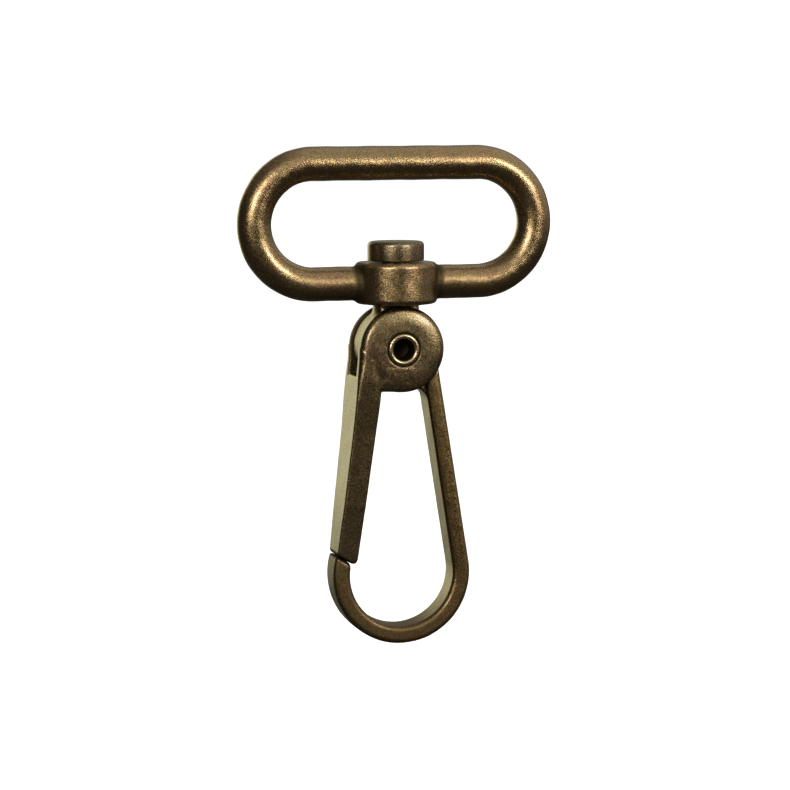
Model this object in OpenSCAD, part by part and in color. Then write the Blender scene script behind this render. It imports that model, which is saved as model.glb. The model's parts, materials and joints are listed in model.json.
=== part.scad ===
/* [Strap loop] */
// Width of webbing that the loop takes
strap_w = 38; // [34:0.5:44]
// Height of the gap between the loop's two bars
strap_gap = 12.7; // [11:0.1:16]
// Diameter of the loop's round bar
bar_d = 5.1; // [4.6:0.1:5.6]
// Diameter of the boss that carries the swivel
boss_d = 12.3; // [11:0.1:14]
// Height of the boss
boss_h = 6.2; // [5.6:0.1:7]

/* [Swivel rivet] */
// Diameter of the rivet's head
head_d = 8.5; // [7.5:0.1:10]
// Height of the rivet's head
head_h = 3.0; // [2:0.1:4]
// Diameter of the rivet's shank in the boss
shank_d = 4.6; // [4:0.1:5]
// Diameter of the tenon that is pressed into the hook's neck
tenon_d = 2.8; // [2.4:0.1:3]
// Length of the tenon
tenon_h = 2.6; // [2:0.1:2.8]

/* [Hook] */
// Distance from the boss down to the gate's pivot
pivot_drop = 6.6; // [6.55:0.05:7]
// Radius of the lug that the gate's ears stand beside
lug_r = 6.0; // [5.8:0.05:6.1]
// Thickness of the lug
lug_t = 4.4; // [4.2:0.1:4.5]
// Distance from the pivot down to the centre of the hook's bend
bend_drop = 34.05; // [32:0.05:38]
// Outer radius of the bend
bend_r = 10.6; // [10:0.1:11]
// In-plane width of the hook's bar at the bend
bar_w = 2.8; // [2.6:0.1:3]
// Thickness of the hook's bar at the bend, front to back
bar_t = 5.2; // [4.8:0.1:5.4]

/* [Gate] */
// Radius of the gate's two ears
ear_r = 6.4; // [6.2:0.05:6.4]
// Thickness over both ears, front to back
ears_t = 9.4; // [9:0.1:9.8]
// Thickness of the wall that joins the two ears
web_t = 1.25; // [1:0.05:1.4]

/* [Hidden] */
$fn = 48;
e = 0.01;                    // small overlap that keeps unions and cuts clean
reach = 12;                  // length of a cutter that must pass right through

brass = "#8a7550";
dark_brass = "#6f5d41";
steel = "#9a8f78";

// Strap loop: the origin is the centre of the strap bar
bar_pitch = strap_gap + bar_d;
end_x = strap_w / 2 + bar_d / 2 - bar_pitch / 2;   // where a bar meets the half-round end
boss_z = -bar_pitch;
boss_top = boss_z + boss_h / 2;
boss_bottom = boss_z - boss_h / 2;
boss_round = 0.7;
swivel_fit = 0.06;           // radial clearance of the shank in the boss
swivel_gap = 0.18;           // axial play above and below the boss

// Hook
pivot_z = boss_bottom - pivot_drop;
neck_d = 6.9;
neck_half_t = 2.1;
neck_top = boss_bottom - swivel_gap;
lug_round = 0.5;
notch_top = -2.0;            // where the lug's rim ends, below the pivot
notch_wall = -2.3;           // side of the notch next to the stem
ear_gap = 0.25;              // clearance round the gate's ears
notch_r = 3.0;               // radius of the boss left round the lug's bore
bend_z = pivot_z - bend_drop;
bend_x = 0.2;
bar_round = 0.8;
stem_lean = 8.5;             // lean of the hook's long stem
stem_len = 32.4;             // from the bend up into the lug
eye_fillet = 3.1;            // fillet between the lug and the stem
eye_centre = [1.53, -8.87];  // its centre, from the pivot
eye_outline = [[0.6, -4], [0.9, -6.2], [4.4, -8.7], [6.0, -8.2], [5.0, -3]];
eye_inset = 0.2;             // how far the filled corner lies below the lug's faces
leg_outline = [[-1.8, 1.9], [-2.9, 1.6], [-4.7, -2.2], [-1.8, -2.2]];
nose_rise = 21;              // how far the bend rises past level, before the seat is cut
seat_slope = 30;             // slope of the nose's seat, down towards the inside
seat_x = -8.9;               // middle of the seat
seat_z = 31.4;               // depth of the seat's middle below the pivot
seat_gap = 0.12;

// Gate
slot_t = 4.8;                // gap between the ears
ear_round = 1.0;
arm_lean = 7.1;              // lean of the gate's arm
arm_round = 0.6;
web_top = -4.0;              // top edge of the web, below the pivot
slot_end = 15;               // how far down the arm the slot runs
// [distance down the arm, half its thickness, offset of its outer edge, of its inner edge]
arm_stations = [[0.6, 4.7, -6.38, -2.5], [5.2, 4.62, -6.3, -2.5], [13, 4.0, -6.04, -2.55],
                [24, 3.55, -6, -2.7], [33.5, 2.7, -6, -2.8]];
heel_outline = [[-4.3, -3], [-3.5, -6.0], [0.2, -6.36], [0.2, -3]];
heel_inset = 0.35;           // how far the heel lies below the ears' faces
pad_t = 0.12;                // raised step low on the front ear
pad_corner = [-2.9, -7];
pad_size = [6.5, 4.3];

// Pivot rivet
tube_r = 2.0;
tube_bore_r = 1.72;
tube_depth = 3.8;            // how deep the rivet's front end is hollow
rivet_head_r = 3.1;
rivet_head_h = 0.7;
lip_r = 2.35;
lip_h = 0.45;
lip_fit = 0.05;              // radial clearance of the lip in its countersink
lip_rounds = [0.1, 0.3];     // roundings at the lip's inner and outer rim
head_rounds = [0.1, 0.5];
pivot_fit = 0.06;            // radial clearance of the tube in the lug

// Gate spring: two turns in the lug's pocket, one leg in a groove, one behind the web
wire_d = 0.6;
wire_inset = 0.15;           // from the lug's face to the first turn
coil_r = 2.62;               // centre line of the wire's coil
coil_pitch = 0.7;
web_leg_at = 155;            // where the coil starts, at the leg behind the web
web_leg = 7.0;
leg_reach = 4.2;             // length of the leg in the groove
groove_w = 0.7;
pocket_depth = 2.3;
pocket_r = 3.3;

// A disc on the Z axis with its lower and upper rim rounded
module rounded_disc(r, h, low, high) {
    rotate_extrude() {
        translate([0, low]) square([r, h - low - high]);
        square([r - low, h - high]);
        translate([0, low]) square([r - high, h - low]);
        translate([r - low, low]) circle(r = low);
        translate([r - high, h - high]) circle(r = high);
    }
}

// A rounded disc on the Y axis through the pivot, from y0 to y1
module pivot_disc(r, y0, y1, front, back) {
    translate([0, y0, pivot_z]) rotate([-90, 0, 0]) rounded_disc(r, y1 - y0, front, back);
}

// A plain cylinder on the Y axis through the pivot
module pivot_rod(r, y0, y1) {
    translate([0, y0, pivot_z]) rotate([-90, 0, 0]) cylinder(r = r, h = y1 - y0);
}

// A w by t section with rounded corners, in the XY plane
module bar_section(w, t, r) {
    square([w - 2 * r, t], center = true);
    square([w, t - 2 * r], center = true);
    for (x = [-1, 1], y = [-1, 1])
        translate([x * (w / 2 - r), y * (t / 2 - r)]) circle(r = r);
}

// A thin slice of bar, the end of a hulled length
module bar_slice(w, t, r) {
    linear_extrude(e, center = true) bar_section(w, t, r, $fn = 24);
}

module strap_loop() {
    color(brass) difference() {
        union() {
            for (z = [0, -bar_pitch])
                translate([0, 0, z]) rotate([0, 90, 0])
                    cylinder(d = bar_d, h = 2 * end_x, center = true);
            for (side = [0, 1]) mirror([side, 0, 0])
                translate([end_x, 0, -bar_pitch / 2]) rotate([90, 0, 0]) rotate([0, 0, -90])
                    rotate_extrude(angle = 180) translate([bar_pitch / 2, 0]) circle(d = bar_d);
            boss();
        }
        translate([0, 0, boss_bottom - 1])
            cylinder(d = shank_d + 2 * swivel_fit, h = boss_h + 2);
    }
}

module boss() {
    translate([0, 0, boss_bottom]) rounded_disc(boss_d / 2, boss_h, boss_round, boss_round);
}

module swivel_rivet() {
    color(brass) {
        translate([0, 0, boss_top + swivel_gap]) rounded_disc(head_d / 2, head_h, 0.25, 0.6);
        translate([0, 0, neck_top])
            cylinder(d = shank_d, h = boss_top + swivel_gap - neck_top + 1);
        translate([0, 0, neck_top - tenon_h]) cylinder(d = tenon_d, h = tenon_h + 1);
    }
}

// The part of the lug's lower left that is cut away for the spring and the web
module lug_notch() {
    translate([0, 0, pivot_z]) rotate([90, 0, 0])
        linear_extrude(lug_t + 2, center = true) difference() {
            polygon([[-lug_r - 1, notch_top], [notch_wall, notch_top],
                     [notch_wall, -lug_r - 1], [-lug_r - 1, -lug_r - 1]]);
            circle(r = notch_r);
        }
}

// The frame at the bend's centre, turned so that +Z runs up along the stem
module stem_frame() {
    translate([bend_x, 0, bend_z]) rotate([0, -stem_lean, 0])
        translate([bend_r - bar_w / 2, 0, 0]) children();
}

// The bar of the hook: a leaning stem, and the bend that rises to the nose under the gate
module hook_bar() {
    stem_frame() linear_extrude(stem_len) bar_section(bar_w, bar_t, bar_round);
    translate([bend_x, 0, bend_z]) rotate([-90, 0, 0]) rotate([0, 0, -stem_lean])
        rotate_extrude(angle = stem_lean + 180 + nose_rise, $fn = 96)
            translate([bend_r - bar_w / 2, 0]) bar_section(bar_w, bar_t, bar_round);
}

// The half space above the nose's seat
module above_seat() {
    translate([seat_x, 0, pivot_z - seat_z]) rotate([0, seat_slope, 0])
        translate([-reach / 2, -reach / 2, 0]) cube(reach);
}

// The metal that rounds off the corner between the lug and the stem
module eye_corner() {
    translate([0, 0, pivot_z]) rotate([90, 0, 0])
        linear_extrude(lug_t - 2 * eye_inset, center = true) difference() {
            polygon(eye_outline);
            translate(eye_centre) circle(r = eye_fillet);
        }
}

// The room that the gate's two ears turn in, one on each side of the lug
module ear_room() {
    for (side = [0, 1]) mirror([0, side, 0])
        pivot_rod(ear_r + ear_gap, lug_t / 2, ears_t);
}

// The neck under the boss, flat on both sides so that it fits between the ears
module neck() {
    intersection() {
        translate([0, 0, pivot_z]) cylinder(d = neck_d, h = neck_top - pivot_z);
        translate([-neck_d, -neck_half_t, pivot_z])
            cube([2 * neck_d, 2 * neck_half_t, neck_top - pivot_z]);
    }
}

// The way for the spring's leg from the pocket out to the gate's web
module leg_window() {
    translate([0, -lug_t / 2 + pocket_depth, pivot_z]) rotate([90, 0, 0])
        linear_extrude(pocket_depth + 1)
            polygon(leg_outline);
}

module hook_body() {
    color(dark_brass) difference() {
        union() {
            neck();
            pivot_disc(lug_r, -lug_t / 2, lug_t / 2, lug_round, lug_round);
            difference() {
                hook_bar();
                ear_room();
                above_seat();
            }
            eye_corner();
        }
        lug_notch();
        pivot_rod(tube_r + pivot_fit, -lug_t, lug_t);
        pivot_rod(pocket_r, -lug_t / 2 - 1, -lug_t / 2 + pocket_depth);
        translate([0, -lug_t / 2 - 1, pivot_z + coil_r - groove_w / 2])
            cube([leg_reach + 0.3, 1 + wire_inset + wire_d, groove_w]);
        leg_window();
        translate([0, 0, neck_top - tenon_h]) cylinder(d = tenon_d, h = tenon_h + 1);
    }
}

// The frame at the pivot, turned so that -Z runs down along the gate's arm
module arm_frame() {
    translate([0, 0, pivot_z]) rotate([0, arm_lean, 0]) children();
}

// The arm as a chain of hulled lengths between its stations
module arm() {
    arm_frame() for (i = [0 : len(arm_stations) - 2])
        hull() for (s = [arm_stations[i], arm_stations[i + 1]])
            translate([(s[2] + s[3]) / 2, 0, -s[0]]) bar_slice(s[3] - s[2], 2 * s[1], arm_round);
}

// The slot between the ears, which runs a little way down the arm's inner side
module arm_slot() {
    pivot_rod(ear_r + 0.4, -slot_t / 2, slot_t / 2);
    arm_frame() translate([arm_stations[1][2] + web_t, -slot_t / 2, -slot_end])
        cube([reach, slot_t, slot_end + 2]);
    translate([-reach, -slot_t / 2, pivot_z + web_top]) cube([reach, slot_t, reach]);
}

module gate() {
    color(brass) difference() {
        union() {
            pivot_disc(ear_r, -ears_t / 2, -slot_t / 2, ear_round, 0.1);
            pivot_disc(ear_r, slot_t / 2, ears_t / 2, 0.1, ear_round);
            arm();
            ear_heel();
            ear_pad();
        }
        arm_slot();
        pivot_rod(tube_r, -ears_t, ears_t);
        pivot_rod(lip_r + lip_fit, -ears_t, -ears_t / 2 + lip_h);
        translate([seat_x, 0, pivot_z - seat_z + seat_gap]) rotate([0, seat_slope, 0])
            translate([-reach / 2, -reach / 2, -reach]) cube(reach);
    }
}

// The heel that fills each ear out below, next to the arm
module ear_heel() {
    for (side = [0, 1]) mirror([0, side, 0])
        translate([0, ears_t / 2 - heel_inset, pivot_z]) rotate([90, 0, 0])
            linear_extrude(ears_t / 2 - slot_t / 2 - heel_inset) polygon(heel_outline);
}

// A faint raised step low on the front ear
module ear_pad() {
    translate([0, -ears_t / 2 + 0.5, pivot_z]) rotate([90, 0, 0])
        linear_extrude(0.5 + pad_t) intersection() {
            circle(r = ear_r - ear_round);
            translate(pad_corner) square(pad_size);
        }
}

// A semi-tubular rivet: its hollow end is rolled over in front, and it has a low head behind
module pivot_rivet() {
    half = ears_t / 2;
    color(steel) translate([0, 0, pivot_z]) rotate([90, 0, 0]) difference() {
        union() {
            translate([0, 0, -half - e]) cylinder(r = tube_r, h = ears_t - lip_h / 2);
            translate([0, 0, half - lip_h]) rounded_disc(lip_r, lip_h, lip_rounds[0], lip_rounds[1]);
            translate([0, 0, -half]) mirror([0, 0, 1])
                rounded_disc(rivet_head_r, rivet_head_h, head_rounds[0], head_rounds[1]);
        }
        translate([0, 0, half - tube_depth]) cylinder(r = tube_bore_r, h = tube_depth + 1);
    }
}

// A round wire swept along a chain of points, each [x, y, z]
module wire(points, d, sides = 8) {
    n = len(points);
    along = [for (i = [0 : n - 1])
        let (v = points[min(i + 1, n - 1)] - points[max(i - 1, 0)]) v / norm(v)];
    rings = [for (i = [0 : n - 1])
        let (t = along[i], c = cross(t, [0, 1, 0]), u = c / norm(c), w = cross(t, u))
        for (k = [0 : sides - 1])
            points[i] + d / 2 * (cos(360 * k / sides) * u + sin(360 * k / sides) * w)];
    sides_faces = [for (i = [0 : n - 2], k = [0 : sides - 1])
        let (a = i * sides, b = a + sides, m = (k + 1) % sides) [a + k, a + m, b + m, b + k]];
    start = [for (k = [0 : sides - 1]) sides - 1 - k];
    finish = [for (k = [0 : sides - 1]) (n - 1) * sides + k];
    polyhedron(points = rings, faces = concat(sides_faces, [start, finish]), convexity = 6);
}

module gate_spring() {
    front_y = -lug_t / 2 + wire_inset + wire_d / 2;
    turn = web_leg_at - 90 + 720;
    coil = [for (a = [0 : turn / 36 : turn + e])
        let (at = web_leg_at - a, y = front_y + coil_pitch * (turn - a) / 360)
        [coil_r * cos(at), y, coil_r * sin(at)]];
    leg_start = coil[0] - web_leg * [sin(web_leg_at), 0, -cos(web_leg_at)];
    leg_end = [leg_reach, front_y, coil_r];
    color(steel) translate([0, 0, pivot_z]) wire(concat([leg_start], coil, [leg_end]), wire_d);
}

strap_loop();
swivel_rivet();
hook_body();
gate();
pivot_rivet();
gate_spring();
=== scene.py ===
"""Looks of a swivel snap hook in antique brass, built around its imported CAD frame.

The castings are modelled as distance fields in millimetres, with the same edges, fillets and cuts as the
real castings, and skinned with fine quads. Rivets are turned and the spring is a swept wire.
"""

import functools
import json
import math

import bpy
import numpy as np
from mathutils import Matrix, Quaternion, Vector


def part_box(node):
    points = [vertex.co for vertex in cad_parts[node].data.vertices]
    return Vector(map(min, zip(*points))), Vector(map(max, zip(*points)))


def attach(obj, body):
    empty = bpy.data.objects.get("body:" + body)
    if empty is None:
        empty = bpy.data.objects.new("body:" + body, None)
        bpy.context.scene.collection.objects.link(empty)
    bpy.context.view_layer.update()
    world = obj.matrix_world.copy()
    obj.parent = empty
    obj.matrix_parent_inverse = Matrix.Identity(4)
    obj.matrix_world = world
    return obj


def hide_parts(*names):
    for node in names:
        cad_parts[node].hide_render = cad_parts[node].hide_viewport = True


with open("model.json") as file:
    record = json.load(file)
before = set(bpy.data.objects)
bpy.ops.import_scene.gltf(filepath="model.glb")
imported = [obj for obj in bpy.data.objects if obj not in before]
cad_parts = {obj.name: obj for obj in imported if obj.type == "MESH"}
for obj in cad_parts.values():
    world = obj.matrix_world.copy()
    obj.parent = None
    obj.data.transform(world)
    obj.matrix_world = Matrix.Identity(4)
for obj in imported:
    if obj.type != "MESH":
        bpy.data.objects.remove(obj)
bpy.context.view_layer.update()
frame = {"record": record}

MM = 0.001
CELL = 0.16        # size of a skin's quads
SKIN_MARGIN = 0.4                         # how far past the CAD box a skin may reach
SHALLOW = 0.25                            # a field's squared slope is never taken as less than this
BORE_EDGE = 0.1                           # rounding of bores, pockets, press fits and cast holes
POCKET_EDGE = 0.15
PRESS_EDGE = 0.05
SLOT_EDGE = 0.3


def box_mm(node):
    """Lowest and highest corner of a CAD node, in millimetres."""
    low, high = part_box(node)
    return low / MM, high / MM


# ---------------------------------------------------------------- sizes, in millimetres, from the frame
loop_low, loop_high = box_mm("strap_loop")
rivet_high = box_mm("swivel_rivet")[1]
hook_low, hook_high = box_mm("hook_body")
gate_low, gate_high = box_mm("gate")
pivot_low, pivot_high = box_mm("pivot_rivet")

# Strap loop: the origin is the centre of its upper bar
BAR_R = loop_high.z
BOSS_R = loop_high.y
BOSS_BOTTOM = loop_low.z
PITCH = 17.8                              # between the two bars' centre lines
BOSS_H = 2 * (-PITCH - BOSS_BOTTOM)
BOSS_ROUND = 0.7
END_X = loop_high.x - BAR_R - PITCH / 2   # where the straight bars meet the half-round ends
ROOT_FILLET = 0.6                         # between a bar and the boss

# Swivel rivet
HEAD_R = rivet_high.x
HEAD_TOP = rivet_high.z
HEAD_BOTTOM = HEAD_TOP - 3.0
HEAD_ROUND = 0.65
HEAD_FOOT = 0.25                          # rounding under the head
HEAD_CROWN = 0.08                         # how far the top rises from its rim to its middle
SHANK_R = 2.3
TENON_R, TENON_H = 1.4, 2.6
SWIVEL_FIT = 0.06

# Hook
PIVOT_Z = (pivot_low.z + pivot_high.z) / 2
NECK_R = 3.45
NECK_HALF = 2.1
NECK_ROUND = 0.3
NECK_FILLET = 0.7                         # between the neck and the lug
NECK_TOP = hook_high.z
LUG_R = 6.1
LUG_HALF = 2.2
LUG_ROUND = 0.45
BEND_X = (hook_low.x + hook_high.x) / 2
BEND_R = (hook_high.x - hook_low.x) / 2
BEND_Z = hook_low.z + BEND_R
STEM_LEAN = math.radians(8.86)
STEM_LEN = 32.4
STEM_FROM = 3                             # nearer than this to the bend's centre, nothing is stem
STEM_WIDTH = (2.6, 2.35)                  # at the bend, at the lug
STEM_THICK = (5.2, 5.5)
STEM_ROUND = 0.75
STEM_FILLET = 0.35                        # between the stem and the lug
STEM_CUT_EDGE = 0.12                      # where the stem is cut back to clear the ears
EYE_R, EYE_X, EYE_DROP = 3.1, 1.53, 8.87  # hollow corner between the stem and the lug
EYE_LEFT, EYE_RIGHT, EYE_TOP, EYE_LOW = 0.9, 5.5, -3, -8.75
EYE_INSET, EYE_ROUND, EYE_BLEND = 0.15, 0.3, 0.25
NOTCH_TOP, NOTCH_WALL, NOTCH_R = -2.0, -2.3, 3.0
NOTCH_LEFT, NOTCH_LOW, NOTCH_EDGE = -8, -8, 0.6
WINDOW_TOP, WINDOW_LOW = 1.7, -2.2        # the spring leg's way out of the lug's pocket
WINDOW_LEFT, WINDOW_RIGHT, WINDOW_LEAN = -4.7, -1.8, 0.47
POCKET_R, POCKET_DEPTH = 3.3, 2.3
GROOVE = (4.5, 0.7, 0.75)                 # reach, width and depth of the spring leg's groove
SEAT_X, SEAT_DROP = -8.9, 31.4            # middle of the nose's seat, from the pivot
SEAT_SLOPE = math.radians(30)
SEAT_GAP = 0.04
SEAT_CUT = (5, 10)                        # half-length and height of the cut that leaves the seat
SEAT_EDGE_AT = [-9.8, -8.8]               # across the seat, its rounding grows between these two places
SEAT_EDGE = [0.55, 0.9]
NOSE_END = 4.5                            # the bar's end above the bend's centre, before that cut

# Gate
EAR_R = 6.4
EARS_HALF = gate_high.y
EAR_ROUND = 0.8
ROUND_DOWN = [3, 9]                       # between these stations the ear's rounding turns into the arm's
DOME = (0.5, 0.05)                        # how far the ear's and the arm's faces fall towards their edge
DOME_DOWN = [2, 8]
DOME_WIDTH = 2.6
EAR_GAP = 0.25
SLOT_HALF = 2.4
SLOT_END = 15
SLOT_REACH = 2                            # how far to the right the gap between the ears is cut
LUG_ROOM = 0.4                            # between the ears' rim and the web's hollow
WEB_T, WEB_TOP = 1.25, -4.0
ARM_LEAN = math.radians(7.1)
ARM_ROUND = 0.32
ARM_DOWN = [0.6, 5.2, 13, 24, 33.5]       # stations down the arm
ARM_HALF = [4.7, 4.62, 4.0, 3.55, 2.7]    # half its thickness there
ARM_OUTER = [-6.38, -6.3, -6.04, -6, -6]
ARM_INNER = [-2.5, -2.5, -2.55, -2.7, -2.8]
ARM_FILLET = 0.5                          # between the arm and the ears
TIP_EDGE_AT = [-5.5, -4]                  # across the arm, its end's rounding grows between these two places
TIP_EDGE = [0.5, 1.2]
HEEL_LEFT, HEEL_RIGHT, HEEL_TOP = -4.2, -0.6, -2
HEEL_LOW, HEEL_LEAN, HEEL_FILLET = -6.34, 0.03, 0.15
STEP_H = 0.035                            # faint step low on the front ear
STEP_LEFT, STEP_TOP, STEP_FADE = (-3.1, -2.6), (2.5, 3.0), (-3.8, -0.5)

# Pivot rivet
TUBE_R = 2.0
TUBE_BORE_R = 1.62
LIP_R = 2.42
LIP_H = 0.45
LIP_PROUD = 0.12
TUBE_DEPTH = 3.8
TUBE_POINT = 0.6                          # depth of the cone at the bore's end
LIP_ROOM = 0.1                            # round the lip, in the ear's countersink
LIP_EDGE = 0.2
RIVET_HEAD_R, RIVET_HEAD_H = pivot_high.x, pivot_high.y - EARS_HALF
RIVET_HEAD_ROUND, RIVET_HEAD_CROWN = 0.5, 0.12
PIVOT_FIT = 0.06
MIDDLE = 0.05                             # radius of the flat at a turned piece's very middle

# Gate spring
WIRE_R = 0.3
COIL_R = 2.62
COIL_PITCH = 0.7
COIL_TURNS = 2
COIL_FRONT = -LUG_HALF + 0.15 + WIRE_R
WEB_LEG_AT = math.radians(155)
WEB_LEG = 7.0
GROOVE_LEG = 4.2

# Waviness of the tumbled castings
LOOP_WAVE, HOOK_WAVE, GATE_WAVE = 0.02, 0.012, 0.01


# ---------------------------------------------------------------- distance fields
def smooth_min(a, b, k):
    """The nearer of two distances, with a fillet of about k where they meet."""
    h = np.clip(0.5 + 0.5 * (b - a) / k, 0, 1)
    return b * (1 - h) + a * h - k * h * (1 - h)


def smooth_max(a, b, k):
    """The overlap of two shapes, with its edge rounded by about k."""
    return -smooth_min(-a, -b, k)


def cut(shape, tool, k):
    """The shape with the tool taken away."""
    return smooth_max(shape, -tool, k)


def overlap(*shapes):
    """What all the shapes share, with sharp edges."""
    return functools.reduce(np.maximum, shapes)


def smooth_step(value, low, high):
    """A smooth rise from 0 at low to 1 at high."""
    t = np.clip((value - low) / (high - low), 0, 1)
    return t * t * (3 - 2 * t)


def prism(side, end, r):
    """A prism from the distances to its side and to its end faces, its edges rounded to r."""
    over = np.hypot(np.maximum(side + r, 0), np.maximum(end + r, 0))
    return np.minimum(np.maximum(side, end) + r, 0) + over - r


def turned(x, z, angle):
    """Coordinates in a frame turned by an angle about Y, from Z towards X."""
    c, s = math.cos(angle), math.sin(angle)
    return x * c - z * s, x * s + z * c


def unevenness(x, y, z, size):
    """The slight waviness of a tumbled casting."""
    return size * (np.sin(0.83 * x + 1.3 * np.sin(0.61 * z + 0.4)) * np.sin(0.74 * z + 0.9 * y)
                   + 0.5 * np.sin(1.9 * x + 1.1 * z) * np.sin(1.7 * y - 1.3 * z + 1.0))


def loop_field(x, y, z):
    """A round bar along a long oval, with a bored boss on its lower side."""
    past_end = np.maximum(np.abs(x) - END_X, 0)
    off_path = np.hypot(past_end, z + PITCH / 2) - PITCH / 2
    bar = np.hypot(off_path, y) - BAR_R
    across = np.hypot(x, y)
    boss = prism(across - BOSS_R, np.abs(z + PITCH) - BOSS_H / 2, BOSS_ROUND)
    bore = np.maximum(across - SHANK_R - SWIVEL_FIT, np.abs(z + PITCH) - BOSS_H)
    return cut(smooth_min(bar, boss, ROOT_FILLET) + unevenness(x, y, z, LOOP_WAVE), bore, BORE_EDGE)


def hook_bar(x, y, z):
    """The stem, the bend and the nose: a rounded bar that follows the hook's centre line."""
    px, pz = x - BEND_X, z - BEND_Z
    out, up = turned(px, pz, -STEM_LEAN)
    on_stem = (up > 0) & (out > STEM_FROM)
    rise = np.clip(np.where(on_stem, up, 0) / STEM_LEN, 0, 1)
    width = STEM_WIDTH[0] + (STEM_WIDTH[1] - STEM_WIDTH[0]) * rise
    thick = STEM_THICK[0] + (STEM_THICK[1] - STEM_THICK[0]) * rise
    centre_r = BEND_R - STEM_WIDTH[0] / 2
    off_line = np.where(on_stem, out, np.hypot(px, pz)) - centre_r
    bar = prism(np.abs(off_line) - width / 2, np.abs(y) - thick / 2, STEM_ROUND)
    bar = np.maximum(bar, np.where(on_stem, up - STEM_LEN, -np.inf))
    over_nose = (pz > NOSE_END) & ~on_stem
    return np.where(over_nose, np.maximum(bar, pz - NOSE_END), bar)


def above_seat(x, z, lift=0.0):
    """Distance to the half space above the nose's sloping seat, and its place along the seat."""
    along, off = turned(x - SEAT_X, z - PIVOT_Z + SEAT_DROP - lift, SEAT_SLOPE)
    return off, along


def hook_outside(x, y, z):
    """The neck, the lug, the stem with its hollow corner, the bend and the nose up to its seat."""
    pz = z - PIVOT_Z
    from_pivot = np.hypot(x, pz)
    ear_room = np.maximum(from_pivot - EAR_R - EAR_GAP, LUG_HALF - np.abs(y))
    bar = cut(hook_bar(x, y, z), ear_room, STEM_CUT_EDGE)
    off, along = above_seat(x, z)
    half_length, height = SEAT_CUT
    nose_top = overlap(-off, off - height, np.abs(along) - half_length)
    bar = cut(bar, nose_top, np.interp(x, SEAT_EDGE_AT, SEAT_EDGE))
    lug = prism(from_pivot - LUG_R, np.abs(y) - LUG_HALF, LUG_ROUND)
    neck = prism(np.hypot(x, y) - NECK_R, np.abs(y) - NECK_HALF, NECK_ROUND)
    neck = overlap(neck, z - NECK_TOP, -pz)
    corner_side = overlap(EYE_R - np.hypot(x - EYE_X, pz + EYE_DROP),
                          EYE_LOW - pz, EYE_LEFT - x, x - EYE_RIGHT, pz - EYE_TOP)
    corner = prism(corner_side, np.abs(y) - LUG_HALF + EYE_INSET, EYE_ROUND)
    body = smooth_min(smooth_min(lug, neck, NECK_FILLET), bar, STEM_FILLET)
    return smooth_min(body, corner, EYE_BLEND) + unevenness(x, y, z, HOOK_WAVE)


def hook_field(x, y, z):
    """The hook with its bores, the spring's pocket and groove, and the room for the gate's web."""
    pz = z - PIVOT_Z
    from_pivot = np.hypot(x, pz)
    in_pocket = y + LUG_HALF - POCKET_DEPTH
    notch = overlap(x - NOTCH_WALL, pz - NOTCH_TOP, NOTCH_R - from_pivot, NOTCH_LOW - pz, NOTCH_LEFT - x)
    body = cut(hook_outside(x, y, z), notch, NOTCH_EDGE)
    body = cut(body, from_pivot - TUBE_R - PIVOT_FIT, BORE_EDGE)
    body = cut(body, np.maximum(from_pivot - POCKET_R, in_pocket), POCKET_EDGE)
    reach, wide, deep = GROOVE
    groove = overlap(-x, x - reach, np.abs(pz - COIL_R) - wide / 2, y + LUG_HALF - deep)
    body = cut(body, groove, BORE_EDGE)
    left_side = WINDOW_LEFT - x + WINDOW_LEAN * (pz - WINDOW_LOW)
    window = overlap(WINDOW_LOW - pz, x - WINDOW_RIGHT, pz - WINDOW_TOP, left_side, in_pocket)
    body = cut(body, window, POCKET_EDGE)
    tenon = np.maximum(np.hypot(x, y) - TENON_R, NECK_TOP - TENON_H - z)
    return cut(body, tenon, PRESS_EDGE)


def gate_field(x, y, z):
    """Two ears and a tapered arm in one outline, hollowed between the ears and down to the slot's end."""
    pz = z - PIVOT_Z
    from_pivot = np.hypot(x, pz)
    across, up = turned(x, pz, ARM_LEAN)
    down = -up
    half = np.interp(down, ARM_DOWN, ARM_HALF)
    arm = overlap(np.interp(down, ARM_DOWN, ARM_OUTER) - across,
                  across - np.interp(down, ARM_DOWN, ARM_INNER), ARM_DOWN[0] - down)
    heel = overlap(HEEL_LEFT - x, x - HEEL_RIGHT, HEEL_LOW - HEEL_LEAN * x - pz, pz - HEEL_TOP)
    outline = smooth_min(smooth_min(from_pivot - EAR_R, arm, ARM_FILLET), heel, HEEL_FILLET)
    off, _ = above_seat(x, z, SEAT_GAP)
    outline = smooth_max(outline, -off, np.interp(across, TIP_EDGE_AT, TIP_EDGE))
    edge = np.interp(down, ROUND_DOWN, [EAR_ROUND, ARM_ROUND])
    dome = np.interp(down, DOME_DOWN, DOME) * np.clip(1 + outline / DOME_WIDTH, 0, 1) ** 2
    step = smooth_step(x, *STEP_LEFT) * smooth_step(-pz, *STEP_TOP) * smooth_step(-x, *STEP_FADE)
    face = np.abs(y) - half + dome - STEP_H * step * (y < 0)
    body = prism(outline, face, edge) + unevenness(x, y, z, GATE_WAVE)
    slot = np.maximum(ARM_OUTER[1] + WEB_T - across, down - SLOT_END)
    window = np.maximum(WEB_TOP - pz, x - SLOT_REACH)
    hollow = np.minimum(np.minimum(slot, window), from_pivot - EAR_R - LUG_ROOM)
    body = cut(body, np.maximum(hollow, np.abs(y) - SLOT_HALF), SLOT_EDGE)
    body = cut(body, from_pivot - TUBE_R, PRESS_EDGE)
    countersink = np.maximum(from_pivot - LIP_R - LIP_ROOM, EARS_HALF - LIP_H + y)
    return cut(body, countersink, LIP_EDGE)


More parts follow.
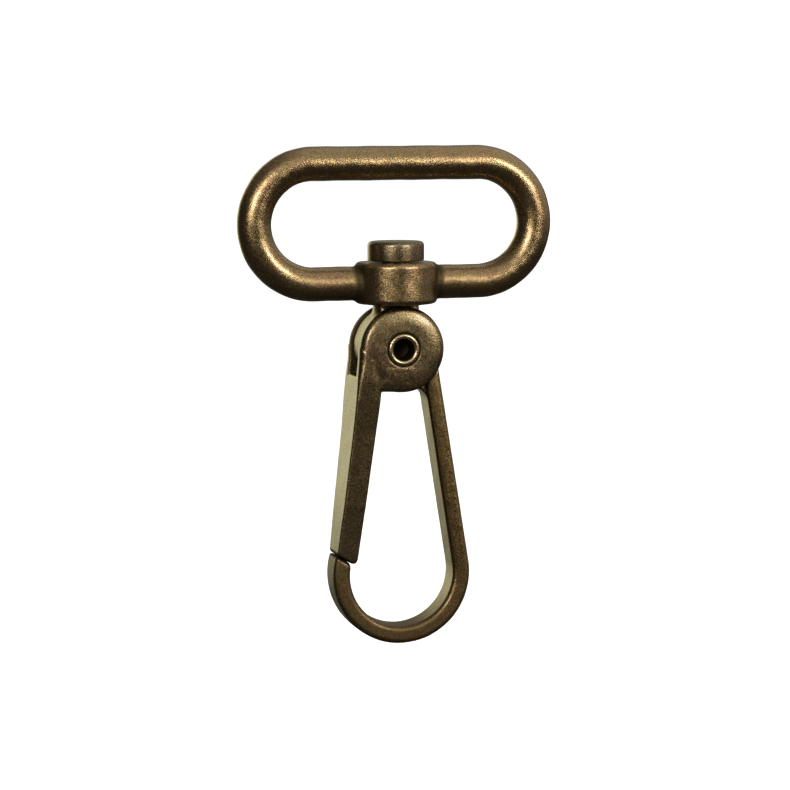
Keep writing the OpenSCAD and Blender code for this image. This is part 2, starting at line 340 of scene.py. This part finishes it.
# ---------------------------------------------------------------- skins and turned pieces
def slope(field, p, h=0.02):
    """The field's gradient at each point."""
    out = np.empty_like(p)
    for axis in range(3):
        step = np.zeros(3)
        step[axis] = h
        out[:, axis] = (field(*(p + step).T) - field(*(p - step).T)) / (2 * h)
    return out


def skin(name, field, low, high):
    """A closed mesh of quads on the surface where the field is zero, between two corners."""
    axes = [np.arange(a - 2 * CELL, b + 3 * CELL, CELL) for a, b in zip(low, high)]
    value = field(*np.meshgrid(*axes, indexing="ij"))
    inside = value < 0
    corners = [(i, j, k) for i in (0, 1) for j in (0, 1) for k in (0, 1)]
    shape = [n - 1 for n in inside.shape]

    def at(grid, c):
        return grid[c[0]:c[0] + shape[0], c[1]:c[1] + shape[1], c[2]:c[2] + shape[2]]

    count = sum(at(inside, c).astype(np.int8) for c in corners)
    cells = np.argwhere((count > 0) & (count < 8))
    number = -np.ones(shape, int)
    number[tuple(cells.T)] = np.arange(len(cells))

    # each cell's point starts at the middle of the crossings on its edges
    total = np.zeros((len(cells), 3))
    crossings = np.zeros(len(cells))
    for c in corners:
        for axis in range(3):
            if c[axis]:
                continue
            d = list(c)
            d[axis] = 1
            a = value[tuple((cells + c).T)]
            b = value[tuple((cells + d).T)]
            crosses = (a < 0) != (b < 0)
            t = np.where(crosses, a / np.where(crosses, a - b, 1), 0)
            point = np.tile(np.array(c, float), (len(cells), 1))
            point[:, axis] = t
            total += point * crosses[:, None]
            crossings += crosses
    first = np.array([a[0] for a in axes])
    points = first + (cells + total / crossings[:, None]) * CELL
    for _ in range(2):
        g = slope(field, points)
        d = field(*points.T)
        move = -(d / np.maximum((g ** 2).sum(1), SHALLOW))[:, None] * g
        points += np.clip(move, -CELL / 2, CELL / 2)

    quads = []
    for axis in range(3):
        b, c = (axis + 1) % 3, (axis + 2) % 3
        ahead = np.roll(inside, -1, axis)
        edges = np.argwhere(inside != ahead)
        ok = (edges[:, axis] < shape[axis]) & (edges[:, b] > 0) & (edges[:, c] > 0)
        ok &= (edges[:, b] < shape[b]) & (edges[:, c] < shape[c])
        edges = edges[ok]
        ring = []
        for back_b, back_c in ((1, 1), (0, 1), (0, 0), (1, 0)):
            cell = edges.copy()
            cell[:, b] -= back_b
            cell[:, c] -= back_c
            ring.append(number[tuple(cell.T)])
        ring = np.stack(ring, 1)
        leaving = inside[tuple(edges.T)]
        ring[~leaving] = ring[~leaving][:, ::-1]
        quads.append(ring)
    quads = np.concatenate(quads)
    return new_piece(name, points, quads.tolist())


def new_piece(name, points, faces, sharp=None):
    """A smooth-shaded mesh object from points in millimetres."""
    mesh = bpy.data.meshes.new(name)
    mesh.from_pydata((np.asarray(points) * MM).tolist(), [], faces)
    mesh.shade_smooth()
    if sharp:
        mesh.set_sharp_from_angle(angle=math.radians(sharp))
    mesh.validate()
    piece = bpy.data.objects.new(name, mesh)
    bpy.context.scene.collection.objects.link(piece)
    return piece


def arc(x, z, r, start, stop, steps=8):
    """Points on an arc, angles in degrees."""
    angles = [math.radians(start + (stop - start) * i / steps) for i in range(steps + 1)]
    return [(x + r * math.cos(a), z + r * math.sin(a)) for a in angles]


def tube_faces(rings, around):
    """Quads between rings of points, and a face to close each end."""
    faces = []
    for i in range(rings - 1):
        for k in range(around):
            m = (k + 1) % around
            a = i * around
            faces.append([a + k, a + m, a + around + m, a + around + k])
    faces.append(list(reversed(range(around))))
    faces.append([(rings - 1) * around + k for k in range(around)])
    return faces


def turned_piece(name, profile, place, around=96):
    """A profile of (radius, height) turned about an axis; place maps (x, y, height) to a point."""
    rings = [[place(r * math.cos(a), r * math.sin(a), h)
              for a in (2 * math.pi * k / around for k in range(around))] for r, h in profile]
    points = [p for ring in rings for p in ring]
    return new_piece(name, points, tube_faces(len(profile), around), sharp=35)


def swivel_rivet_mesh():
    """A tenon, a shank and a thick flat head with rounded edges and a slight crown."""
    profile = [(TENON_R, NECK_TOP - TENON_H), (TENON_R, NECK_TOP), (SHANK_R, NECK_TOP),
               (SHANK_R, HEAD_BOTTOM)]
    profile += arc(HEAD_R - HEAD_FOOT, HEAD_BOTTOM + HEAD_FOOT, HEAD_FOOT, -90, 0)
    profile += arc(HEAD_R - HEAD_ROUND, HEAD_TOP - HEAD_ROUND - HEAD_CROWN, HEAD_ROUND, 0, 80)
    profile += [(HEAD_R * 0.55, HEAD_TOP - 0.015), (MIDDLE, HEAD_TOP)]
    return turned_piece("swivel_rivet_look", profile, lambda x, y, h: (x, y, h))


def pivot_rivet_mesh():
    """A semi-tubular rivet: the hollow end rolled over in front, a low domed head behind."""
    front = EARS_HALF
    roll = (LIP_R - TUBE_BORE_R) / 2
    back = -front - RIVET_HEAD_H
    round_z = back + RIVET_HEAD_ROUND + RIVET_HEAD_CROWN
    profile = [(MIDDLE, back)]
    profile += arc(RIVET_HEAD_R - RIVET_HEAD_ROUND, round_z, RIVET_HEAD_ROUND, -80, 0)
    profile += [(RIVET_HEAD_R, -front), (TUBE_R, -front), (TUBE_R, front - LIP_H)]
    profile += arc(LIP_R - roll, front - roll + LIP_PROUD, roll, -40, 180, 14)
    profile += [(TUBE_BORE_R, front - TUBE_DEPTH), (MIDDLE, front - TUBE_DEPTH - TUBE_POINT)]
    return turned_piece("pivot_rivet_look", profile, lambda x, y, h: (x, -h, PIVOT_Z + y))


def spring_path():
    """The wire's centre line: a leg behind the gate's web, the coil, and a leg in the lug's groove."""
    turn = WEB_LEG_AT - math.pi / 2 + COIL_TURNS * 2 * math.pi
    coil_steps, web_steps, groove_steps = 96, 8, 4
    coil = []
    for i in range(coil_steps + 1):
        a = turn * i / coil_steps
        at = WEB_LEG_AT - a
        depth = COIL_FRONT + COIL_PITCH * (turn - a) / (2 * math.pi)
        coil.append(Vector((COIL_R * math.cos(at), depth, PIVOT_Z + COIL_R * math.sin(at))))
    way = Vector((math.sin(WEB_LEG_AT), 0, -math.cos(WEB_LEG_AT)))
    web_leg = [coil[0] - way * (WEB_LEG * (web_steps - i) / web_steps) for i in range(web_steps)]
    groove_leg = [Vector((GROOVE_LEG * i / groove_steps, COIL_FRONT, PIVOT_Z + COIL_R))
                  for i in range(1, groove_steps + 1)]
    return web_leg + coil + groove_leg


def gate_spring_mesh(sides=14):
    """A torsion spring: round wire swept along its path."""
    path = spring_path()
    points = []
    for i, p in enumerate(path):
        along = (path[min(i + 1, len(path) - 1)] - path[max(i - 1, 0)]).normalized()
        side = along.cross(Vector((0, 1, 0))).normalized()
        other = along.cross(side)
        for k in range(sides):
            a = 2 * math.pi * k / sides
            points.append(p + WIRE_R * (math.cos(a) * side + math.sin(a) * other))
    return new_piece("gate_spring_look", points, tube_faces(len(path), sides), sharp=50)


# ---------------------------------------------------------------- materials
class Tree:
    """A material's node tree, with short ways to add and join nodes."""

    def __init__(self, name):
        self.material = bpy.data.materials.new(name)
        self.material.use_nodes = True
        self.nodes = self.material.node_tree.nodes
        self.links = self.material.node_tree.links
        self.shader = self.nodes["Principled BSDF"]
        coords = self.nodes.new("ShaderNodeTexCoord")
        self.place = self.add("ShaderNodeMapping", {"Vector": coords.outputs["Object"],
                                                   "Scale": (1 / MM,) * 3}).outputs[0]

    def add(self, kind, inputs, **settings):
        node = self.nodes.new(kind)
        for key, value in settings.items():
            setattr(node, key, value)
        for key, value in inputs.items():
            self.set(node.inputs[key], value)
        return node

    def set(self, socket, value):
        if isinstance(value, bpy.types.NodeSocket):
            self.links.new(value, socket)
        else:
            socket.default_value = value

    def noise(self, scale, detail=3, roughness=0.55, seed=0.0):
        """Noise with features of about 1/scale millimetres, from 0 to 1."""
        moved = self.add("ShaderNodeMapping", {"Vector": self.place, "Location": (seed, seed, seed)})
        place = moved.outputs[0]
        return self.add("ShaderNodeTexNoise", {"Vector": place, "Scale": scale, "Detail": detail,
                                              "Roughness": roughness}).outputs[0]

    def ramp(self, value, low, high, to_low=0.0, to_high=1.0):
        """A smooth change from to_low, where the value is low, to to_high, where it is high."""
        return self.add("ShaderNodeMapRange", {0: value, 1: low, 2: high, 3: to_low, 4: to_high},
                        interpolation_type="SMOOTHSTEP").outputs[0]

    def math(self, operation, a, b=0.0):
        return self.add("ShaderNodeMath", {0: a, 1: b}, operation=operation).outputs[0]

    def xyz(self):
        """The point on the object, in millimetres."""
        return self.add("ShaderNodeSeparateXYZ", {"Vector": self.place}).outputs

    def mix(self, factor, a, b, blend="MIX"):
        node = self.nodes.new("ShaderNodeMix")
        node.data_type = "RGBA"
        node.blend_type = blend
        node.clamp_factor = True
        for socket, value in ((node.inputs[0], factor), (node.inputs[6], a), (node.inputs[7], b)):
            self.set(socket, value)
        return node.outputs[2]


def colour(r, g, b):
    """An opaque colour, in linear light."""
    return (r, g, b, 1)


LACQUER = 0.42                            # weight of the clear coat
# the colour of grime and of painted shade, used for the hollows and for the painted-shade masks
GRIME_AND_SHADE = colour(0.03, 0.022, 0.012)
WORN = colour(0.80, 0.66, 0.42)
DARKER = colour(0.48, 0.44, 0.36)         # what the speckle's dark and light grains multiply the tone by
LIGHTER = colour(1.6, 1.56, 1.46)
BUMP_DEPTH = 0.06 * MM


def antique_brass(name, colours, seed, roughness, grain, contrast, wear, painted_shade=None):
    """Antique plating: a dark stained brass, cloudy and speckled, rubbed bright on its edges.

    grain is the strength of its bumps and contrast that of its speckle; wear is how bright the edges are.
    The last argument, if given, adds nodes that say where shade is painted in.
    """
    base, warm, olive = colours
    t = Tree(name)
    cloud = t.noise(0.22, 3, 0.6, seed=seed)
    cloud_2 = t.noise(0.35, 3, 0.6, seed=seed + 31)
    speckle = t.noise(4.2, 4, 0.8, seed=seed + 7)
    grit = t.noise(7.0, 3, 0.75, seed=seed + 11)
    pits = t.noise(13.0, 2, 0.6, seed=seed + 13)

    # clouds of warmer and olive tone, then dark and bright grains
    tone = t.mix(t.ramp(cloud, 0.42, 0.62), base, warm)
    tone = t.mix(t.ramp(cloud_2, 0.5, 0.7, 0, 0.8), tone, olive)
    dark = t.mix(1.0, tone, DARKER, "MULTIPLY")
    tone = t.mix(t.ramp(speckle, 0.36, 0.52, contrast, 0), tone, dark)
    light = t.mix(1.0, tone, LIGHTER, "MULTIPLY")
    tone = t.mix(t.ramp(speckle, 0.5, 0.66, 0, contrast), tone, light)

    # patina and painted shade in the hollows, and wear on the edges
    bend = t.nodes.new("ShaderNodeNewGeometry").outputs["Pointiness"]
    edge = t.ramp(bend, 0.515, 0.6, 0, wear)
    edge = t.math("MULTIPLY", edge, t.ramp(speckle, 0.4, 0.6, 0.6, 1.0))
    # painted shade: pointiness darkens the hollows towards the grime-and-shade colour, part patina and part
    # shade
    hollow = t.ramp(bend, 0.42, 0.49, 0.75, 0)
    tone = t.mix(hollow, tone, GRIME_AND_SHADE)
    tone = t.mix(edge, tone, WORN)

    # gloss, and a clear coat that the painted shade covers
    rough = t.ramp(grit, 0.3, 0.7, roughness + 0.09, roughness - 0.07)
    rough = t.math("SUBTRACT", rough, t.math("MULTIPLY", edge, 0.08))
    t.shader.inputs["Coat Weight"].default_value = LACQUER
    t.shader.inputs["Coat Roughness"].default_value = 0.11
    if painted_shade:
        # painted shade: these nodes darken the tone towards the grime-and-shade colour, roughen it and take
        # the coat away
        where = painted_shade(t)
        tone = t.mix(where, tone, GRIME_AND_SHADE)
        rough = t.math("ADD", rough, t.math("MULTIPLY", where, 0.35))
        t.set(t.shader.inputs["Coat Weight"], t.ramp(where, 0.0, 0.9, LACQUER, 0.0))
    t.set(t.shader.inputs["Base Color"], tone)
    t.shader.inputs["Metallic"].default_value = 1.0
    t.set(t.shader.inputs["Roughness"], rough)

    height = t.math("ADD", t.math("MULTIPLY", grit, 0.6), t.math("MULTIPLY", pits, 0.4))
    bump = t.add("ShaderNodeBump", {"Height": height, "Strength": 0.5 * grain, "Distance": BUMP_DEPTH})
    t.set(t.shader.inputs["Normal"], bump.outputs[0])
    return t.material


def round_pivot(t):
    """The distance from the gate's pivot axis, and the place along it, in millimetres."""
    x, y, z = t.xyz()
    flat = t.add("ShaderNodeCombineXYZ", {"X": x, "Z": t.math("SUBTRACT", z, PIVOT_Z)}).outputs[0]
    return t.add("ShaderNodeVectorMath", {0: flat}, operation="LENGTH").outputs["Value"], y


def painted_seat_shade(t):
    """Painted shade on both sides of the line where the gate's end meets the nose."""
    x, _, z = t.xyz()
    sideways = turned(1, 0, SEAT_SLOPE)[1]
    upwards = turned(0, 1, SEAT_SLOPE)[1]
    start = turned(-SEAT_X, SEAT_DROP - PIVOT_Z, SEAT_SLOPE)[1]
    off = t.math("ADD", t.math("MULTIPLY", x, sideways), t.math("MULTIPLY", z, upwards))
    near = t.ramp(t.math("ABSOLUTE", t.math("ADD", off, start)), 0.2, 0.8, 1, 0)
    return t.math("MULTIPLY", near, t.ramp(x, -6.0, -5.4, 1, 0))


def loop_painted_shade(t):
    """Painted shade where the lower bar runs into the boss and on its underside, which is also duller."""
    x, _, z = t.xyz()
    side = t.math("ABSOLUTE", x)
    root = t.math("MULTIPLY", t.ramp(side, BOSS_R - 1.3, BOSS_R - 0.4, 0, 0.85),
                  t.ramp(side, BOSS_R + 0.2, BOSS_R + 1.3, 1, 0))
    under = t.math("MULTIPLY", t.ramp(side, BOSS_R, BOSS_R + 1, 0, 1),
                   t.ramp(z, -PITCH - 0.7, -PITCH + 1.8, 0.35, 0))
    lower_bar = t.ramp(z, -PITCH + 2.8, -PITCH + 3.8, 1, 0)
    return t.math("MULTIPLY", t.math("MAXIMUM", root, under), lower_bar)


def hook_darkening(t):
    """Painted shade at the seat, and a darkening that deepens round the bend towards the nose."""
    x, _, z = t.xyz()
    low = t.ramp(z, BEND_Z - BEND_R + 1, BEND_Z + 1, 0.5, 0)
    nose = t.math("MULTIPLY", t.ramp(x, -7, -2, 0.5, 0), t.ramp(z, BEND_Z + 5, BEND_Z + 9, 1, 0))
    return t.math("MAXIMUM", t.math("MAXIMUM", low, nose), painted_seat_shade(t))


def bore_painted_shade(t):
    """Painted shade deep in the rivet's bore, and none on the head behind."""
    r, y = round_pivot(t)
    deep = t.math("MULTIPLY", t.ramp(y, -EARS_HALF - 0.1, -EARS_HALF + 0.5, 0, 0.97), t.ramp(y, 1, 2, 1, 0))
    return t.math("MULTIPLY", t.ramp(r, TUBE_BORE_R, TUBE_BORE_R + 0.12, 1, 0), deep)


def gate_painted_shade(t):
    """Painted shade round the rivet's lip, in the slot and out over the rear ear's rim, and at the seat;
    darker low on the arm.
    """
    r, y = round_pivot(t)
    ring = t.ramp(r, LIP_R + 0.05, LIP_R + 0.4, 0.85, 0)
    slot = t.ramp(t.math("ABSOLUTE", y), SLOT_HALF + 0.05, SLOT_HALF + 0.4, 0.85, 0)
    rear = t.math("MULTIPLY", t.ramp(y, 0, 0.1, 0, 1), t.ramp(y, SLOT_HALF + 0.7, SLOT_HALF + 1.6, 0.85, 0))
    slot = t.math("MULTIPLY", t.math("MAXIMUM", slot, rear), t.ramp(r, EAR_R - 0.2, EAR_R + 0.3, 1, 0))
    low = t.math("MAXIMUM", t.ramp(r, 20, 32, 0, 0.25), painted_seat_shade(t))
    return t.math("MAXIMUM", t.math("MAXIMUM", ring, slot), low)


def spring_steel(name):
    """Drawn spring wire."""
    t = Tree(name)
    drawn = t.noise(3.0, 3, 0.6)
    t.set(t.shader.inputs["Base Color"], t.mix(drawn, colour(0.3, 0.28, 0.24), colour(0.5, 0.47, 0.42)))
    t.shader.inputs["Metallic"].default_value = 1.0
    t.set(t.shader.inputs["Roughness"], t.ramp(drawn, 0.3, 0.7, 0.38, 0.28))
    return t.material


def pale_floor(name):
    """A white paper floor, bright enough to melt into the background."""
    t = Tree(name)
    paper = t.noise(0.05, 2)
    t.set(t.shader.inputs["Base Color"], t.mix(paper, colour(0.9, 0.9, 0.9), colour(0.94, 0.94, 0.94)))
    t.shader.inputs["Roughness"].default_value = 0.9
    t.shader.inputs["Emission Color"].default_value = colour(1, 1, 1)
    t.shader.inputs["Emission Strength"].default_value = 0.8
    return t.material


# ---------------------------------------------------------------- the pieces
def finish_piece(piece, body, node, material):
    """Gives a piece its material and the body that it moves with, and hides the CAD node that it stands for.
    """
    piece.data.materials.append(material)
    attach(piece, body)
    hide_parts(node)


def brass_finishes():
    """Each brass part's plating, from its base, warm and olive tones."""
    loop = [colour(0.30, 0.208, 0.098), colour(0.32, 0.205, 0.103), colour(0.27, 0.205, 0.09)]
    hook = [colour(0.225, 0.152, 0.06), colour(0.24, 0.148, 0.064), colour(0.20, 0.155, 0.058)]
    gate = [colour(0.20, 0.148, 0.072), colour(0.22, 0.146, 0.077), colour(0.18, 0.145, 0.066)]
    head = [colour(0.215, 0.165, 0.092), colour(0.235, 0.165, 0.095), colour(0.185, 0.155, 0.087)]
    lip = [colour(0.50, 0.39, 0.22), colour(0.54, 0.39, 0.23), colour(0.42, 0.35, 0.19)]
    return {
        "strap_loop": antique_brass("brass_loop", loop, seed=3.0, roughness=0.25, grain=1.2,
                                    contrast=1.0, wear=0.3, painted_shade=loop_painted_shade),
        "hook_body": antique_brass("brass_hook", hook, seed=17.0, roughness=0.29, grain=1.2,
                                   contrast=1.1, wear=0.35, painted_shade=hook_darkening),
        "gate": antique_brass("brass_gate", gate, seed=29.0, roughness=0.29, grain=1.1,
                              contrast=1.2, wear=0.35, painted_shade=gate_painted_shade),
        "swivel_rivet": antique_brass("brass_swivel", head, seed=41.0, roughness=0.26, grain=1.1,
                                      contrast=1.0, wear=0.3),
        "pivot_rivet": antique_brass("brass_rivet", lip, seed=53.0, roughness=0.26, grain=0.5,
                                     contrast=0.5, wear=0.6, painted_shade=bore_painted_shade),
    }


def build():
    """Every visual piece, on its body."""
    brass = brass_finishes()
    pad = Vector((SKIN_MARGIN,) * 3)
    pieces = {
        "strap_loop": skin("strap_loop_look", loop_field, loop_low - pad, loop_high + pad),
        "hook_body": skin("hook_body_look", hook_field, hook_low - pad, hook_high + pad),
        "gate": skin("gate_look", gate_field, gate_low - pad, gate_high + pad),
        "swivel_rivet": swivel_rivet_mesh(),
        "pivot_rivet": pivot_rivet_mesh(),
    }
    bodies = frame["record"]["behaviour"]["bodies"]
    body_of = {node: body for body, nodes in bodies.items() for node in nodes}
    for node, piece in pieces.items():
        finish_piece(piece, body_of[node], node, brass[node])
    finish_piece(gate_spring_mesh(), body_of["gate_spring"], "gate_spring", spring_steel("spring_wire"))


# ---------------------------------------------------------------- floor, light and camera
# In metres and degrees; azimuth 0 is in front of the object, 90 on its right
FLOOR_Z = -0.102
FLOOR_HALF = 3.0
AIM = Vector((-0.0002, 0, -0.0347))
VIEW_AZIMUTH = -15
VIEW_ELEVATION = 6.3
VIEW_DISTANCE = 0.41
VIEW_ROLL = 0.25
VIEW_WIDTH = 0.1185                       # width of the picture at the aim
LIGHT_DISTANCE = 0.6
LIGHT_SIZE = 0.17
LIGHT_COLOUR = (1, 0.98, 0.95)
STUDIO_DARK = {"X": 0.045, "Y": 0.043, "Z": 0.038}
BACKGROUND = 1.05                         # what the camera sees behind the object


def add_floor():
    """A floor that the camera sees but that throws no light on the object."""
    mesh = bpy.data.meshes.new("floor")
    signs = ((-1, -1), (1, -1), (1, 1), (-1, 1))
    corners = [(FLOOR_HALF * i, FLOOR_HALF * j, FLOOR_Z) for i, j in signs]
    mesh.from_pydata(corners, [], [(0, 1, 2, 3)])
    floor = bpy.data.objects.new("floor", mesh)
    bpy.context.scene.collection.objects.link(floor)
    floor.data.materials.append(pale_floor("pale_floor"))
    floor.visible_glossy = False
    floor.visible_diffuse = False


def direction(azimuth, elevation):
    """The way from the object towards a place in the studio."""
    a, e = math.radians(azimuth), math.radians(elevation)
    return Vector((math.sin(a) * math.cos(e), -math.cos(a) * math.cos(e), math.sin(e)))


def add_light(name, azimuth, elevation, power):
    """A soft square light that looks at the object."""
    way = direction(azimuth, elevation)
    data = bpy.data.lights.new(name, "AREA")
    data.size = LIGHT_SIZE
    data.energy = power
    data.color = LIGHT_COLOUR
    light = bpy.data.objects.new(name, data)
    light.location = AIM + way * LIGHT_DISTANCE
    light.rotation_euler = (-way).to_track_quat("-Z", "Y").to_euler()
    light.visible_camera = False
    bpy.context.scene.collection.objects.link(light)


# Soft zones of the studio: azimuth, elevation, half-angles of the full and the fading zone, colour
ZONES = [
    (-168, 6.5, 2, 24, (1.15, 1.12, 0.68)),        # the pale sweep behind the object
    (180, 0, 10, 42, (0.22, 0.22, 0.15)),
    (-10, 34, 6, 36, (0.62, 0.60, 0.55)),         # between the two lights in front
    (88, 48, 15, 68, (0.62, 0.61, 0.57)),         # the ceiling, brighter on the right
    (0, 90, 30, 75, (0.13, 0.13, 0.12)),
]


def add_world():
    """A studio with a bright sweep behind the object, a soft ceiling and dark sides."""
    world = bpy.data.worlds.new("studio")
    bpy.context.scene.world = world
    world.use_nodes = True
    nodes, links = world.node_tree.nodes, world.node_tree.links
    nodes.clear()

    def add(kind, inputs, **settings):
        node = nodes.new(kind)
        for key, value in settings.items():
            setattr(node, key, value)
        for key, value in inputs.items():
            if isinstance(value, bpy.types.NodeSocket):
                links.new(value, node.inputs[key])
            else:
                node.inputs[key].default_value = value
        return node

    way = add("ShaderNodeTexCoord", {}).outputs["Generated"]
    glow = add("ShaderNodeCombineXYZ", STUDIO_DARK).outputs[0]
    for azimuth, elevation, full, fade, tint in ZONES:
        centre = direction(azimuth, elevation)
        near = add("ShaderNodeVectorMath", {0: way, 1: centre}, operation="DOT_PRODUCT")
        level = add("ShaderNodeMapRange", {0: near.outputs["Value"], 1: math.cos(math.radians(fade)),
                                           2: math.cos(math.radians(full))}, interpolation_type="SMOOTHSTEP")
        zone = add("ShaderNodeVectorMath", {0: tint, "Scale": level.outputs[0]}, operation="SCALE")
        glow = add("ShaderNodeVectorMath", {0: glow, 1: zone.outputs[0]}, operation="ADD").outputs[0]
    lit = add("ShaderNodeBackground", {"Color": glow})
    seen = add("ShaderNodeBackground", {"Color": (1, 1, 1, 1), "Strength": BACKGROUND})
    camera_ray = add("ShaderNodeLightPath", {}).outputs["Is Camera Ray"]
    both = add("ShaderNodeMixShader", {0: camera_ray, 1: lit.outputs[0], 2: seen.outputs[0]})
    add("ShaderNodeOutputWorld", {"Surface": both.outputs[0]})


def add_camera():
    """A camera in front of the object, a little to its left and above it."""
    way = direction(VIEW_AZIMUTH, VIEW_ELEVATION)
    data = bpy.data.cameras.new("camera")
    data.lens = data.sensor_width * VIEW_DISTANCE / VIEW_WIDTH
    data.clip_start = 0.01
    camera = bpy.data.objects.new("camera", data)
    camera.location = AIM + way * VIEW_DISTANCE
    turn = (-way).to_track_quat("-Z", "Y") @ Quaternion((0, 0, 1), -math.radians(VIEW_ROLL))
    camera.rotation_euler = turn.to_euler()
    bpy.context.scene.collection.objects.link(camera)
    bpy.context.scene.camera = camera


add_camera()
build()
add_floor()
add_world()
add_light("key_left", -34, 18, 1.5)
add_light("key_right", 32, 17, 1.45)
bpy.context.scene.view_settings.view_transform = "Standard"
